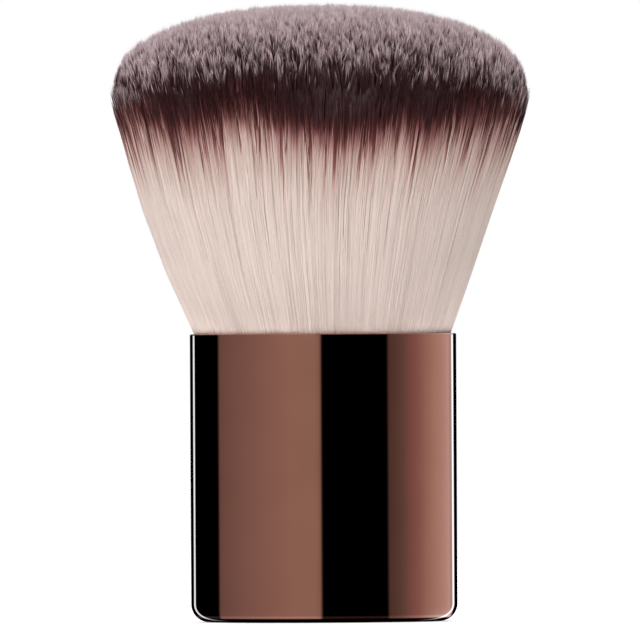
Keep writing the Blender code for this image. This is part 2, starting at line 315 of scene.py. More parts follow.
peak = calculate(sky, "MULTIPLY", strength, REFLECTION_PEAK / WALL_LEVEL)
strip_peak = calculate(sky, "MULTIPLY", strip_fade, REFLECTION_PEAK)
reflected = join(background(bands, peak), background(PALE_GREY, above_and_below))
reflected = join(reflected, background(strips, strip_peak))
path = add_node(sky, "ShaderNodeLightPath").outputs
lit = join(path["Is Glossy Ray"], background(WHITE, AMBIENT_LEVEL), reflected)
shown = join(path["Is Camera Ray"], lit, background(WHITE, 1.0))
sky.links.new(shown, add_node(sky, "ShaderNodeOutputWorld").inputs[0])
print(f"studio: {len(sky.nodes)} nodes")

# %% [markdown]
# ## Floor and lamps
#
# The floor is plain and pale. It is matt, so the brush casts its shadow on it, and a little
# light of its own, for the camera only, lifts the rest of it to the white of the background.
# Reflections don't see it, because the painted surroundings already hold its light.
#
# Four soft lamps do the rest. The largest stands in front, up and to the left, and models the
# round of the head. One hangs above and lights the tips of the hair, and one stands far back at
# each side and lightens the edges of the head.

# %% Lay the floor
FLOOR_SIZE = 3.0
FLOOR_GLOW = 0.42
FLOOR_DROP = 0.02 * MM

shape = bmesh.new()
bmesh.ops.create_grid(shape, x_segments=4, y_segments=4, size=FLOOR_SIZE)
floor_mesh = bpy.data.meshes.new("studio floor")
shape.to_mesh(floor_mesh)
shape.free()
floor = add_object("studio_floor", floor_mesh)
floor.location.z = -FLOOR_DROP
floor.visible_glossy = False
floor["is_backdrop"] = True

paper = bpy.data.materials.new("white paper sweep")
paper.use_nodes = True
paper_tree = paper.node_tree
paper_tree.nodes.clear()
matt = add_node(paper_tree, "ShaderNodeBsdfDiffuse")
matt.inputs["Color"].default_value = (0.90, 0.90, 0.90, 1)
glow = add_node(paper_tree, "ShaderNodeEmission")
seen = add_node(paper_tree, "ShaderNodeLightPath").outputs["Is Camera Ray"]
plug(paper_tree, calculate(paper_tree, "MULTIPLY", seen, FLOOR_GLOW), glow.inputs["Strength"])
both = add_node(paper_tree, "ShaderNodeAddShader")
paper_tree.links.new(matt.outputs[0], both.inputs[0])
paper_tree.links.new(glow.outputs[0], both.inputs[1])
paper_tree.links.new(both.outputs[0], add_node(paper_tree, "ShaderNodeOutputMaterial").inputs[0])
floor_mesh.materials.append(paper)
print(f"studio_floor: {len(floor_mesh.polygons)} faces")

# %% Hang the lamps
LAMP_AIM_HEIGHT = 0.05
FAINTLY_COOL = (0.80, 0.92, 1.00)


def hang_lamp(name, place, size, power, colour=(1, 1, 1)):
    """A square soft lamp that faces the brush's axis a little above the rim."""
    lamp_data = bpy.data.lights.new(name, "AREA")
    lamp_data.size = size
    lamp_data.energy = power
    lamp_data.color = colour
    lamp = add_object(name, lamp_data)
    lamp.location = place
    aim = Vector((0, 0, LAMP_AIM_HEIGHT)) - Vector(place)
    lamp.rotation_euler = aim.to_track_quat("-Z", "Y").to_euler()
    lamp.visible_glossy = False
    print(f"{name}: {power} W, {size} m, {aim.length:.2f} m away")


hang_lamp("front lamp", (-0.32, -1.03, 0.08), 0.8, 11.0)
hang_lamp("top lamp", (0.00, 0.32, 0.86), 0.6, 4.4)
hang_lamp("left back lamp", (-0.90, 0.55, 0.15), 0.6, 0.2, FAINTLY_COOL)
hang_lamp("right back lamp", (0.90, 0.55, 0.15), 0.6, 0.6, FAINTLY_COOL)

# %% [markdown]
# ## Handle
#
# The handle is one drawn cup of aluminium, polished, then dyed bronze. Any facet would break
# its reflections, so it is built again here as a fine turned shape: the outline of the wall,
# spun round the axis in 256 steps. A smooth surface blends its normals at each edge of the
# outline, and over a long wall that blend bends the reflections. A second ring close to each
# arc keeps the bend where the arc is.

# %% Turn the handle
HANDLE_STEPS = 256
SUPPORT_GAP = 0.04 * MM
MERGE_DISTANCE = 0.001 * MM
BASE_EDGE_STEPS = 24
SMALL_EDGE_STEPS = 8


def arc(centre, radius, start, end, steps):
    """Points of an arc in the outline's plane, from one angle in degrees to another."""
    angles = [math.radians(start + (end - start) * step / steps) for step in range(steps + 1)]
    return [(centre[0] + radius * math.cos(a), centre[1] + radius * math.sin(a)) for a in angles]


def spun_piece(name, outline, steps):
    """A closed smooth piece: an outline of (radius, height) points spun round +Z."""
    shape = bmesh.new()
    ring = [shape.verts.new((radius, 0, height)) for radius, height in outline]
    edges = [shape.edges.new(pair) for pair in zip(ring, ring[1:])]
    bmesh.ops.spin(
        shape, geom=ring + edges, axis=(0, 0, 1), cent=(0, 0, 0),
        steps=steps, angle=2 * math.pi, use_merge=True,
    )
    bmesh.ops.remove_doubles(shape, verts=shape.verts, dist=MERGE_DISTANCE)
    bmesh.ops.recalc_face_normals(shape, faces=shape.faces)
    mesh = bpy.data.meshes.new(name)
    shape.to_mesh(mesh)
    shape.free()
    mesh.shade_smooth()
    return add_object(name, mesh)


bore_radius = handle_radius - shell_wall
inner_corner = base_edge_radius - shell_wall
outer_centre = (handle_radius - base_edge_radius, base_edge_radius)
inner_centre = (bore_radius - inner_corner, shell_floor + inner_corner)
rim_centre = (handle_radius - rim_edge_radius, rim_height - rim_edge_radius)

outline = [(0, 0), (outer_centre[0] - SUPPORT_GAP, 0)]
outline += arc(outer_centre, base_edge_radius, -90, 0, BASE_EDGE_STEPS)
outline += [(handle_radius, outer_centre[1] + SUPPORT_GAP)]
outline += [(handle_radius, rim_centre[1] - SUPPORT_GAP)]
outline += arc(rim_centre, rim_edge_radius, 0, 90, SMALL_EDGE_STEPS)
outline += [(bore_radius, rim_height), (bore_radius, rim_height - SUPPORT_GAP)]
outline += [(bore_radius, inner_centre[1] + SUPPORT_GAP)]
outline += arc(inner_centre, inner_corner, 0, -90, SMALL_EDGE_STEPS)
outline += [(inner_centre[0] - SUPPORT_GAP, shell_floor), (0, shell_floor)]
handle = spun_piece("polished_handle", outline, HANDLE_STEPS)
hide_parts("handle_shell")
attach(handle, "root")
print(f"polished_handle: {len(handle.data.polygons)} faces")

# %% [markdown]
# ## Bronze finish
#
# Dyed aluminium is a metal whose colour tints what it reflects. Polishing and dyeing leave faint
# traces, so the gloss varies a little over a few millimetres, the dye is not quite even, and
# hair-thin polishing lines run round the tube.

# %% Make the finishes
def finish(name, colour, roughness, metallic):
    """A material with a Principled shader, and its tree and shader for what is added to it."""
    material = bpy.data.materials.new(name)
    material.use_nodes = True
    shader = material.node_tree.nodes["Principled BSDF"]
    shader.inputs["Base Color"].default_value = (*colour, 1)
    shader.inputs["Roughness"].default_value = roughness
    shader.inputs["Metallic"].default_value = metallic
    return material, material.node_tree, shader


def noise(tree, size, detail=2.0, stretch=(1, 1, 1)):
    """Cloudy noise on the piece's own coordinates: the size of its patches, in metres."""
    place = add_node(tree, "ShaderNodeTexCoord").outputs["Object"]
    mapping = add_node(tree, "ShaderNodeMapping")
    mapping.inputs["Scale"].default_value = [share / size for share in stretch]
    tree.links.new(place, mapping.inputs["Vector"])
    cloud = add_node(tree, "ShaderNodeTexNoise")
    cloud.inputs["Scale"].default_value = 1.0
    cloud.inputs["Detail"].default_value = detail
    tree.links.new(mapping.outputs[0], cloud.inputs["Vector"])
    return cloud.outputs[0]


# Cloudy noise seldom falls below the first of these or rises above the second
NOISE_LOW = 0.3
NOISE_HIGH = 0.7


def vary(tree, value, socket, low, high):
    """Drives a shader's value between two levels."""
    span = add_node(tree, "ShaderNodeMapRange")
    plug(tree, value, span.inputs["Value"])
    span.inputs["From Min"].default_value = NOISE_LOW
    span.inputs["From Max"].default_value = NOISE_HIGH
    span.inputs["To Min"].default_value = low
    span.inputs["To Max"].default_value = high
    tree.links.new(span.outputs["Result"], socket)


def roughen(tree, shader, value, depth):
    """A fine relief, in metres, from a value."""
    relief = add_node(tree, "ShaderNodeBump")
    relief.inputs["Strength"].default_value = 1.0
    relief.inputs["Distance"].default_value = depth
    tree.links.new(value, relief.inputs["Height"])
    tree.links.new(relief.outputs["Normal"], shader.inputs["Normal"])


bronze, tree, shader = finish("bronze dyed aluminium", (0.50, 0.21, 0.155), 0.03, 1.0)
clouds = noise(tree, 9 * MM)
dye = ramp(tree, clouds, [(NOISE_LOW, (0.485, 0.202, 0.148)), (NOISE_HIGH, (0.515, 0.218, 0.162))])
tree.links.new(dye, shader.inputs["Base Color"])
vary(tree, noise(tree, 4 * MM), shader.inputs["Roughness"], 0.020, 0.035)
roughen(tree, shader, noise(tree, 1 * MM, 3.0, (0.2, 0.2, 12)), 0.00001 * MM)
handle.data.materials.append(bronze)
print("bronze: tint", [round(c, 3) for c in shader.inputs["Base Color"].default_value[:3]])

# %% [markdown]
# ## Pieces inside the handle
#
# The pieces that the handle hides keep their solid shapes and get finishes of their own, for
# whoever takes the brush apart: butyl rubber, zinc plated steel with cloudy passivation, moulded
# plastic with a spark-eroded grain, drawn aluminium, cured glue and potted hair. Each is two
# tones mixed by noise, with a little relief.

# %% Finish the inner pieces
def two_tone(name, node, tones, size, roughness, metallic, depth, stretch=(1, 1, 1)):
    """A finish of two tones for a solid piece, with relief of a real depth."""
    material, tree, shader = finish(name, tones[0], roughness, metallic)
    grain = noise(tree, size, 4.0, stretch)
    tree.links.new(ramp(tree, grain, [(0.35, tones[0]), (0.65, tones[1])]), shader.inputs["Base Color"])
    vary(tree, grain, shader.inputs["Roughness"], roughness * 0.9, roughness * 1.1)
    roughen(tree, shader, grain, depth)
    mesh = frame["nodes"][node].data
    mesh.materials.clear()
    mesh.materials.append(material)
    print(f"{node}: {name}")


two_tone("butyl rubber", "weight_pad",
         ((0.26, 0.26, 0.25), (0.34, 0.34, 0.33)), 0.6 * MM, 0.85, 0.0, 0.03 * MM)
two_tone("zinc plated steel", "base_weight",
         ((0.50, 0.51, 0.54), (0.60, 0.61, 0.62)), 2.0 * MM, 0.36, 1.0, 0.004 * MM)
two_tone("black moulded plastic", "pedestal",
         ((0.016, 0.016, 0.018), (0.026, 0.026, 0.028)), 0.15 * MM, 0.55, 0.0, 0.006 * MM)
two_tone("drawn aluminium", "ferrule",
         ((0.76, 0.76, 0.77), (0.84, 0.84, 0.85)), 0.4 * MM, 0.30, 1.0, 0.002 * MM, (1, 1, 0.05))
two_tone("amber cured glue", "epoxy_plug",
         ((0.40, 0.26, 0.10), (0.50, 0.34, 0.14)), 3.0 * MM, 0.22, 0.0, 0.01 * MM)
two_tone("potted hair root", "knot_root",
         ((0.52, 0.41, 0.29), (0.70, 0.58, 0.43)), 0.15 * MM, 0.45, 0.0, 0.03 * MM, (1, 1, 0.02))

# %% [markdown]
# ## Binding thread
#
# Before the knot of hair is glued into the ferrule, a waxed thread is wound round its waist,
# with its two ends laid straight up and down. The solid part shows it as one tube. A real
# thread is three plies laid together, so here the same route carries three thin tubes, each
# a third of a turn ahead of the next.

# %% Wind the thread
THREAD_LOOPS = 4
THREAD_PITCH = 1.3 * MM
THREAD_DIAMETER = 0.8 * MM
THREAD_BEND_RADIUS = 1.2 * MM
PLY_RADIUS = 0.19 * MM
PLY_OFFSET = 0.20 * MM
PLY_LAY = 2.4 * MM
POINTS_PER_LAY = 7
BEND_STEPS = 8
PLIES = 3

thread_low, thread_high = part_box("binding_cord")
coil_radius = thread_high.x - THREAD_DIAMETER / 2
bend_angle = THREAD_BEND_RADIUS / coil_radius
coil_angle = 2 * math.pi * THREAD_LOOPS
coil_top = thread_high.z - THREAD_DIAMETER - THREAD_BEND_RADIUS
coil_drop = THREAD_PITCH * THREAD_LOOPS


def thread_points(step):
    """The thread's centre line, from its top end down: angle round the knot, and height."""
    route = [(-bend_angle, thread_high.z)]
    for share in np.linspace(0, 1, BEND_STEPS):
        bend = math.pi / 2 * share
        rise = THREAD_BEND_RADIUS * (1 - math.sin(bend))
        route.append((-bend_angle * math.cos(bend), coil_top + rise))
    turns = int(coil_angle * coil_radius / step)
    for share in np.linspace(0, 1, turns)[1:]:
        route.append((coil_angle * share, coil_top - coil_drop * share))
    coil_base = coil_top - coil_drop
    for share in np.linspace(0, 1, BEND_STEPS)[1:]:
        bend = math.pi / 2 * share
        drop = THREAD_BEND_RADIUS * (1 - math.cos(bend))
        route.append((coil_angle + bend_angle * math.sin(bend), coil_base - drop))
    route.append((coil_angle + bend_angle, thread_low.z))
    return [
        Vector((coil_radius * math.cos(a), coil_radius * math.sin(a), height)) for a, height in route
    ]


route = thread_points(PLY_LAY / POINTS_PER_LAY)
length_so_far = [0.0]
for first, second in zip(route, route[1:]):
    length_so_far.append(length_so_far[-1] + (second - first).length)

plies = bpy.data.curves.new("binding thread", "CURVE")
plies.dimensions = "3D"
plies.bevel_depth = PLY_RADIUS
plies.bevel_resolution = 1
plies.use_fill_caps = True
for ply in range(PLIES):
    spline = plies.splines.new("POLY")
    spline.points.add(len(route) - 1)
    for index, place in enumerate(route):
        ahead = route[min(index + 1, len(route) - 1)] - route[max(index - 1, 0)]
        outward = Vector((place.x, place.y, 0)).normalized()
        across = ahead.cross(outward).normalized()
        twist = 2 * math.pi * (length_so_far[index] / PLY_LAY + ply / PLIES)
        place = place + PLY_OFFSET * (math.cos(twist) * outward + math.sin(twist) * across)
        spline.points[index].co = (*place, 1)
laid = add_object("plies", plies)
bpy.context.view_layer.update()
thread_mesh = bpy.data.meshes.new_from_object(laid)
bpy.data.objects.remove(laid)
thread = add_object("binding_thread", thread_mesh)
thread_mesh.shade_smooth()
waxed, tree, shader = finish("waxed thread", (0.70, 0.66, 0.58), 0.6, 0.0)
wax = noise(tree, 0.3 * MM, 4.0)
tree.links.new(ramp(tree, wax, [(0.35, (0.62, 0.57, 0.48)), (0.65, (0.76, 0.72, 0.65))]),
               shader.inputs["Base Color"])
roughen(tree, shader, wax, 0.02 * MM)
thread_mesh.materials.clear()
thread_mesh.materials.append(waxed)
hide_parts("binding_cord")
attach(thread, "root")
print(f"binding_thread: {length_so_far[-1] / MM:.0f} mm wound, {len(thread_mesh.polygons)} faces")

# %% [markdown]
# ## Dye of the fibres
#
# Each synthetic fibre is dyed along its length. From the tip down it is pale mauve grey, then
# nearly black brown, then red brown for a few millimetres, and cream to the root. The bands of
# neighbouring fibres don't end at the same height, which gives the ragged edge between the
# brown and the cream, and in a few groups of fibres the red brown is held back and reaches
# down further. The last millimetres above the rim are painted paler. That is painted light:
# among real fibres light goes in and lights them up there, and solid ones would look too dark.
#
# All fibres share one material. It reads one UV map: along V runs the distance from the tip, and
# U picks one of 256 columns. A column has its own shift of the bands, its own brightness and its
# own length of pale tip.

# %% Mix the dye
DYE_LENGTH = 54 * MM
DYE_GROUPS = 16
DYE_COLUMNS = 256

fibre, tree, shader = finish("dyed fibre", (0.7, 0.6, 0.55), 0.6, 0.0)
shader.inputs["Specular IOR Level"].default_value = 0.12
uv_map = add_node(tree, "ShaderNodeUVMap", uv_map="OFBake")
uv = add_node(tree, "ShaderNodeSeparateXYZ")
tree.links.new(uv_map.outputs[0], uv.inputs[0])
# Distance from the tip, in millimetres
from_tip = calculate(tree, "MULTIPLY", calculate(tree, "SUBTRACT", 1.0, uv.outputs["Y"]), DYE_LENGTH / MM)


def chance(tree, count, seed):
    """A number from 0 to 1 that is the same all along a column, one of so many across U."""
    cell = calculate(tree, "FLOOR", calculate(tree, "MULTIPLY", uv.outputs["X"], float(count)))
    dice = add_node(tree, "ShaderNodeTexWhiteNoise", noise_dimensions="1D")
    plug(tree, calculate(tree, "ADD", cell, seed), dice.inputs["W"])
    return dice.outputs["Value"]


LONGEST_REACH = 4.6
REACH_RARENESS = 1.9
HELD_FROM = 5.0
HELD_RATE = 0.62
COLUMN_SPREAD = 1.8
COLUMN_LEAST = 0.1
reach = calculate(tree, "POWER", chance(tree, DYE_GROUPS, 11.5), REACH_RARENESS)
longest = calculate(tree, "MULTIPLY", reach, LONGEST_REACH)
held_part = calculate(tree, "MAXIMUM", from_tip, HELD_FROM)
so_far = calculate(tree, "MULTIPLY_ADD", held_part, HELD_RATE, -HELD_RATE * HELD_FROM)
held_back = calculate(tree, "MINIMUM", longest, so_far)
own_shift = chance(tree, DYE_COLUMNS, 400.5)
column_shift = calculate(tree, "MULTIPLY_ADD", own_shift, COLUMN_SPREAD, COLUMN_LEAST)
shift = calculate(tree, "SUBTRACT", column_shift, held_back)
shifted = calculate(tree, "ADD", from_tip, shift)
print(f"dye: {DYE_COLUMNS} columns in {DYE_GROUPS} groups over {DYE_LENGTH / MM:.0f} mm")

# %% Colour the body of the fibre
# Places are millimetres from the tip
BODY_SPAN = 40.0
body_tones = (
    (0.0, (0.031, 0.0080, 0.0098)),
    (5.9, (0.036, 0.0092, 0.0108)),
    (7.1, (0.066, 0.018, 0.018)),
    (8.0, (0.125, 0.038, 0.036)),
    (9.0, (0.250, 0.098, 0.091)),
    (10.1, (0.400, 0.218, 0.197)),
    (11.6, (0.550, 0.380, 0.340)),
    (13.4, (0.625, 0.480, 0.432)),
    (15.6, (0.670, 0.540, 0.489)),
    (18.6, (0.702, 0.586, 0.535)),
    (BODY_SPAN, (0.710, 0.598, 0.549)),
)
body_tone = ramp(tree, calculate(tree, "DIVIDE", shifted, BODY_SPAN),
                 [(place / BODY_SPAN, tone) for place, tone in body_tones])
# Painted light: how much paler the fibre is painted towards the rim, to make up for the shade
# there. A ramp holds no more than 1, so it holds half
painted_root_light_gains = (
    (0.0, 1.0), (29.0, 1.0), (33.3, 1.09), (34.3, 1.16), (34.9, 1.24), (35.3, 1.40),
    (BODY_SPAN, 1.40),
)
painted_root_light = ramp(tree, calculate(tree, "DIVIDE", from_tip, BODY_SPAN),
               [(place / BODY_SPAN, gain / 2) for place, gain in painted_root_light_gains])
painted_root_light = calculate(tree, "MULTIPLY", painted_root_light, 2.0)
print(f"body: {len(body_tones)} tones, and {len(painted_root_light_gains)} gains towards the root")

# %% Lay the pale tip over it
TIP_SPAN = 6.0
TIP_SPREAD = 0.6
TIP_LEAST = 0.7
own_tip = chance(tree, DYE_COLUMNS, 900.5)
tip_stretch = calculate(tree, "MULTIPLY_ADD", own_tip, TIP_SPREAD, TIP_LEAST)
tip_place = calculate(tree, "DIVIDE", calculate(tree, "DIVIDE", from_tip, tip_stretch), TIP_SPAN)
tip_cover = ramp(tree, tip_place, [
    (0.0, 1.0), (0.5 / TIP_SPAN, 0.95), (1.1 / TIP_SPAN, 0.65), (1.9 / TIP_SPAN, 0.25),
    (3.0 / TIP_SPAN, 0.05), (1.0, 0.0),
])
tip_tone = ramp(tree, tip_place, [
    (0.0, (0.77, 0.64, 0.66)),
    (0.6 / TIP_SPAN, (0.66, 0.51, 0.53)),
    (1.6 / TIP_SPAN, (0.52, 0.35, 0.375)),
])
blend = add_node(tree, "ShaderNodeMix", data_type="RGBA")
plug(tree, tip_cover, blend.inputs["Factor"])
plug(tree, body_tone, blend.inputs["A"])
plug(tree, tip_tone, blend.inputs["B"])
# The pale tips differ more in brightness, from lock to lock and from fibre to fibre
TIP_CONTRAST = 0.65
BODY_CONTRAST = 0.08
LOCK_PART = 0.65
FIBRE_PART = 0.35
spread = calculate(tree, "MULTIPLY_ADD", tip_cover, TIP_CONTRAST, BODY_CONTRAST)
of_lock = calculate(tree, "MULTIPLY_ADD", chance(tree, DYE_GROUPS, 1500.5), LOCK_PART, -0.5)
off_middle = calculate(tree, "MULTIPLY_ADD", chance(tree, DYE_COLUMNS, 2100.5), FIBRE_PART, of_lock)
brightness = calculate(tree, "MULTIPLY_ADD", off_middle, spread, painted_root_light)
toned = add_node(tree, "ShaderNodeMix", data_type="RGBA", blend_type="MULTIPLY")
toned.inputs["Factor"].default_value = 1.0
plug(tree, blend.outputs["Result"], toned.inputs["A"])
plug(tree, brightness, toned.inputs["B"])
tree.links.new(toned.outputs["Result"], shader.inputs["Base Color"])
print(f"dyed fibre: {len(tree.nodes)} nodes")

# %% [markdown]
# ## Outline of the head
#
# A hair starts at some share of the radius and keeps that share all the way up, so the bundle
# opens evenly. Its height depends on the same share: hairs in the middle are the longest and
# those at the outside end at the shoulder. The dome between them is flatter on top than half an
# ellipse and less steep at its edge. No bundle stands quite straight, and this one bows by up to
# 0.6 mm to the left on its way up.

# %% Describe the outline of the head
DOME_FLATNESS = 2.8
DOME_ROUNDNESS = 0.63
BOW_SWING = 0.42 * MM
BOW_SWING_TOP = 26 * MM
BOW_LEAN = 0.25 * MM
BOW_LEAN_TOP = 20 * MM


def flare(height):
    """Radius of the outside of the hair at a height above the rim."""
    share = height / shoulder_height
    straight = hair_rim_radius + (head_radius - hair_rim_radius) * share
    return straight + 4 * flare_bow * share * (1 - share)


def crown(ring):
    """Height above the rim at which the hairs end, for a share of the radius."""
    return shoulder_height + crown_rise * np.clip(1 - ring**DOME_FLATNESS, 0, 1) ** DOME_ROUNDNESS


def bow(height):
    """Sideways shift of the bundle's middle, along X, at a height above the rim."""
    swing = np.sin(math.pi * np.clip(height / BOW_SWING_TOP, 0, 1))
    return -BOW_SWING * swing - BOW_LEAN * np.clip(height / BOW_LEAN_TOP, 0, 1)


for ring in (0.0, 0.8, 1.0):
    top = float(crown(np.float64(ring)))
    print(f"share {ring:.1f}: ends {top / MM:.1f} mm above the rim, {ring * flare(top) / MM:.1f} mm out")

# %% [markdown]
# ## One fibre, many times
#
# A fibre is a spike with three sides, made once as a cone and cut into a few lengths. An Array
# modifier copies it thousands of times in one go, all in the same place. The copies are then
# laid out by arithmetic on all their points at once. Faces stay as the cone had them.

# %% Make one fibre
FIBRE_SIDES = 3
TOUCHING = 0.0001


def one_fibre(lengths):
    """A spike of height 1 with a ring of points at each length, and its map round and along."""
    shape = bmesh.new()
    bmesh.ops.create_cone(shape, cap_ends=True, segments=FIBRE_SIDES, radius1=1, radius2=0, depth=1)
    bmesh.ops.translate(shape, verts=shape.verts, vec=(0, 0, 0.5))
    for length in lengths:
        everything = shape.verts[:] + shape.edges[:] + shape.faces[:]
        bmesh.ops.bisect_plane(
            shape, geom=everything, dist=TOUCHING, plane_co=(0, 0, length), plane_no=(0, 0, 1),
        )
    tip = max(shape.verts, key=lambda vert: vert.co.z)
    seam = math.atan2(*min(shape.verts, key=lambda vert: vert.co.z).co.yx)
    map_layer = shape.loops.layers.uv.new("OFBake")
    for face in shape.faces:
        centre = face.calc_center_median()
        is_base = all(vert.co.z < TOUCHING for vert in face.verts)
        around = (math.atan2(centre.y, centre.x) - seam) / (2 * math.pi) % 1
        for loop in face.loops:
            own = (math.atan2(loop.vert.co.y, loop.vert.co.x) - seam) / (2 * math.pi)
            if is_base:
                across = (own + 0.001) % 1
            elif loop.vert == tip:
                across = around
            else:
                across = around + (own - around + 0.5) % 1 - 0.5
            # One corner of the base is moved along, so that its patch of the map has an area
            along = 0.5 - across if is_base and across < 0.1 else 0.0
            loop[map_layer].uv = (across, along)
    mesh = bpy.data.meshes.new("one fibre")
    shape.to_mesh(mesh)
    shape.free()
    mesh.shade_smooth()
    return mesh


# %% Copy it and lay the copies out
COLUMN_MARGIN = 0.15
BASE_PATCH = 0.004
MAP_MARGIN = 0.001


def copies(name, mesh, count):
    """An object that holds so many copies of a mesh, all in one place."""
    piece = add_object(name, mesh)
    row = piece.modifiers.new("copies", "ARRAY")
    row.fit_type = "FIXED_COUNT"
    row.count = count
    row.use_relative_offset = False
    graph = bpy.context.evaluated_depsgraph_get()
    many = bpy.data.meshes.new_from_object(piece.evaluated_get(graph))
    piece.modifiers.clear()
    piece.data = many
    many.name = name
    return piece


def read(collection, name, width, kind=np.float64):
    """One property of all points, loops or map corners as an array, so many values each."""
    values = np.empty(len(collection) * width, kind)
    collection.foreach_get(name, values)
    return values.reshape(-1, width) if width > 1 else values


def lay_fibres(name, centres, half_widths, from_tip, columns, dice):
    """Lays one fibre along each line of centres (fibre, ring, xyz), from root to tip.

    half_widths has one value a ring, from_tip the distance from the tip for each fibre and ring.
    """
    count, rings = centres.shape[:2]
    lengths = [step / (rings - 1) for step in range(1, rings - 1)]
    mesh = one_fibre(lengths)
    points = read(mesh.vertices, "co", 3)
    ring_of = np.rint(points[:, 2] * (rings - 1)).astype(int)
    side_of = np.arctan2(points[:, 1], points[:, 0])
    loop_points = read(mesh.loops, "vertex_index", 1, np.int32)
    loop_map = read(mesh.uv_layers["OFBake"].data, "uv", 2)

    piece = copies(name, mesh, count)
    turned = dice.uniform(0, 2 * math.pi, count)[:, None] + side_of[None, :]
    outward = np.stack([np.cos(turned), np.sin(turned), np.zeros_like(turned)], -1)
    places = centres[:, ring_of] + outward * half_widths[ring_of][None, :, None]
    piece.data.vertices.foreach_set("co", places.reshape(-1))

    across = columns[:, None] + COLUMN_MARGIN + (1 - 2 * COLUMN_MARGIN) * loop_map[None, :, 0]
    along = 1 - from_tip[:, ring_of[loop_points]] / DYE_LENGTH - BASE_PATCH * loop_map[None, :, 1]
    along = np.clip(along, MAP_MARGIN, 1 - MAP_MARGIN)
    new_map = np.stack([across / DYE_COLUMNS, along], -1)
    piece.data.uv_layers["OFBake"].data.foreach_set("uv", new_map.reshape(-1))
    piece.data.update()
    piece.data.materials.clear()
    piece.data.materials.append(fibre)
    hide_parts("bristle_head")
    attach(piece, "root")
    print(f"{name}: {count} fibres, {len(piece.data.polygons)} faces")


# %% [markdown]
# ## Trimming
#
# A head is cut to shape after the hair is tied, and the cut takes dye away with the tips. In the
# middle of the crown most fibres keep their pale tip. Towards the shoulder fewer do, and there
# the cut goes some millimetres into the dark brown, in some places deeper than in others. So the
# height of the dark band and its ragged edge follow from the length of dye that each fibre lost.
# At the left and right outline seen from the camera the dye is moved as well, as painted light
# and shade: the band sits higher, pale tips reach further out and the red brown runs further
# down, as the outer fibres look when lit from behind.

# %% Say how much dye the trimming took
# Share of the fibres that keep their pale tip, by share of the radius
kept_rings = (0.0, 0.5, 0.7, 0.8, 0.87, 0.92, 0.96, 1.0)
kept_shares = (1.2, 1.10, 0.92, 0.78, 0.66, 0.54, 0.08, -0.06)
KEPT_SOFTNESS = 0.3
# Angle round the head in degrees, from the camera to the right, and by how many millimetres
# the band reaches further down there. Near 90 degrees either way, at the outline seen from the
# camera, the band is painted some 5 mm higher: painted edge light, as of outer fibres lit from
# behind. The smaller steps in front follow the band's own ragged edge.
band_drops_and_edge_light = (
    (-180, 0.5), (-150, -0.5), (-120, -0.5), (-90, -4.7), (-77, -4.7), (-65, -3.7),
    (-56, -2.4), (-48, -1.1), (-42, 0.3), (-36, -0.7), (-31, -1.3), (-20, -1.8),
    (-14, -0.8), (-8, 0.5), (-2, 1.3), (3, 1.7), (9, 1.9), (15, 1.6), (21, -0.2),
    (27, 0.6), (33, 1.2), (39, -0.3), (45, -2.2), (52, -2.5), (60, -2.6), (68, -4.7),
    (90, -5.0), (130, -0.5), (160, -0.6), (180, 0.5),
)
# The outside, in shares of the radius
OUTSIDE_FROM = 0.93
OUTSIDE_SPAN = 0.055
# Millimetres of dye. Seen from the front, the band's edge is also more ragged at the left and
# the right outline, which softens the painted edge light there
CUT_OUTSIDE = 3.6
PALE_TIP = 2.8
RAGGED = 1.0
RAGGED_AT_SIDES = 6.0
# Painted edge light: pale tips reach further out there as well, in shares of the radius
PAINTED_EDGE_PALE_REACH = 0.25
PALE_FADE = 1.9
PALE_FADE_FROM = 0.9


def trimmed_and_edge_lit(ring, turned, near_tip, luck):
    """Length of dye that the trimming took from each fibre, at each of its rings of points, with the
    painted edge light at the left and right outline.
    """
    outside = np.clip((ring - OUTSIDE_FROM) / OUTSIDE_SPAN, 0, 1)
    from_camera = (np.degrees(turned) + 90 + 180) % 360 - 180
    sideways = np.cos(turned) ** 4
    ragged = (RAGGED + RAGGED_AT_SIDES * sideways) * (luck - 0.5)
    # Painted edge light: at the left and right outline the band sits higher and pale tips reach further
    # out
    whole = MM * outside * (CUT_OUTSIDE - np.interp(from_camera, *zip(*band_drops_and_edge_light)) - ragged)
    edge_lit_reach = sideways * (PAINTED_EDGE_PALE_REACH - PALE_FADE * np.maximum(ring - PALE_FADE_FROM, 0))
    kept_share = np.interp(ring - edge_lit_reach, kept_rings, kept_shares)
    gone = np.clip((luck - kept_share) / KEPT_SOFTNESS + 0.5, 0, 1)
    tip_only = MM * PALE_TIP * gone * (1 - outside * gone)
    at_tip = whole * gone + tip_only
    return whole[:, None] * (1 - near_tip) + at_tip[:, None] * near_tip


def dye_columns(group, dice):
    """A dye column for each fibre: its lock gives the group, the column in it is its own."""
    size = DYE_COLUMNS // DYE_GROUPS
    return group * size + dice.integers(0, size, len(group))


# At 90 degrees most of what is taken here is painted edge light, not the cut
for angle in (0, 90, 180):
    drop = np.interp(angle, *zip(*band_drops_and_edge_light))
    print(f"{angle} degrees from the camera the cut takes {CUT_OUTSIDE - drop:.1f} mm")

# %% [markdown]
# ## Side fibres
#
# The fibres at the outside of the bundle show from rim to shoulder. They lie in three layers and
# lean a little this way and that. Fibres that lie close together belong to one lock: they bend,
# curl and puff out alike and share a group of dye columns, so the edge of the brown comes down
# in streaks a few fibres wide. A few fibres stray across their neighbours, stand off loosely,
# or end low and show a dull tip against the dark band.

# %% Measure the side fibres
GOLDEN_TURN = math.pi * (3 - math.sqrt(5))
SIDE_FIBRES = 5400
SIDE_PIECES = 3
SIDE_SEED = 21
SIDE_HALF_WIDTH = 0.058 * MM
SIDE_INNER = 0.981
SIDE_OUTER = 0.997
SIDE_LOCKS = 440
SIDE_LAYERS = 3
LAYER_STAGGER = 0.37
ROOT_DISTANCE = 37.0 * MM
root_depth = 1.5 * MM
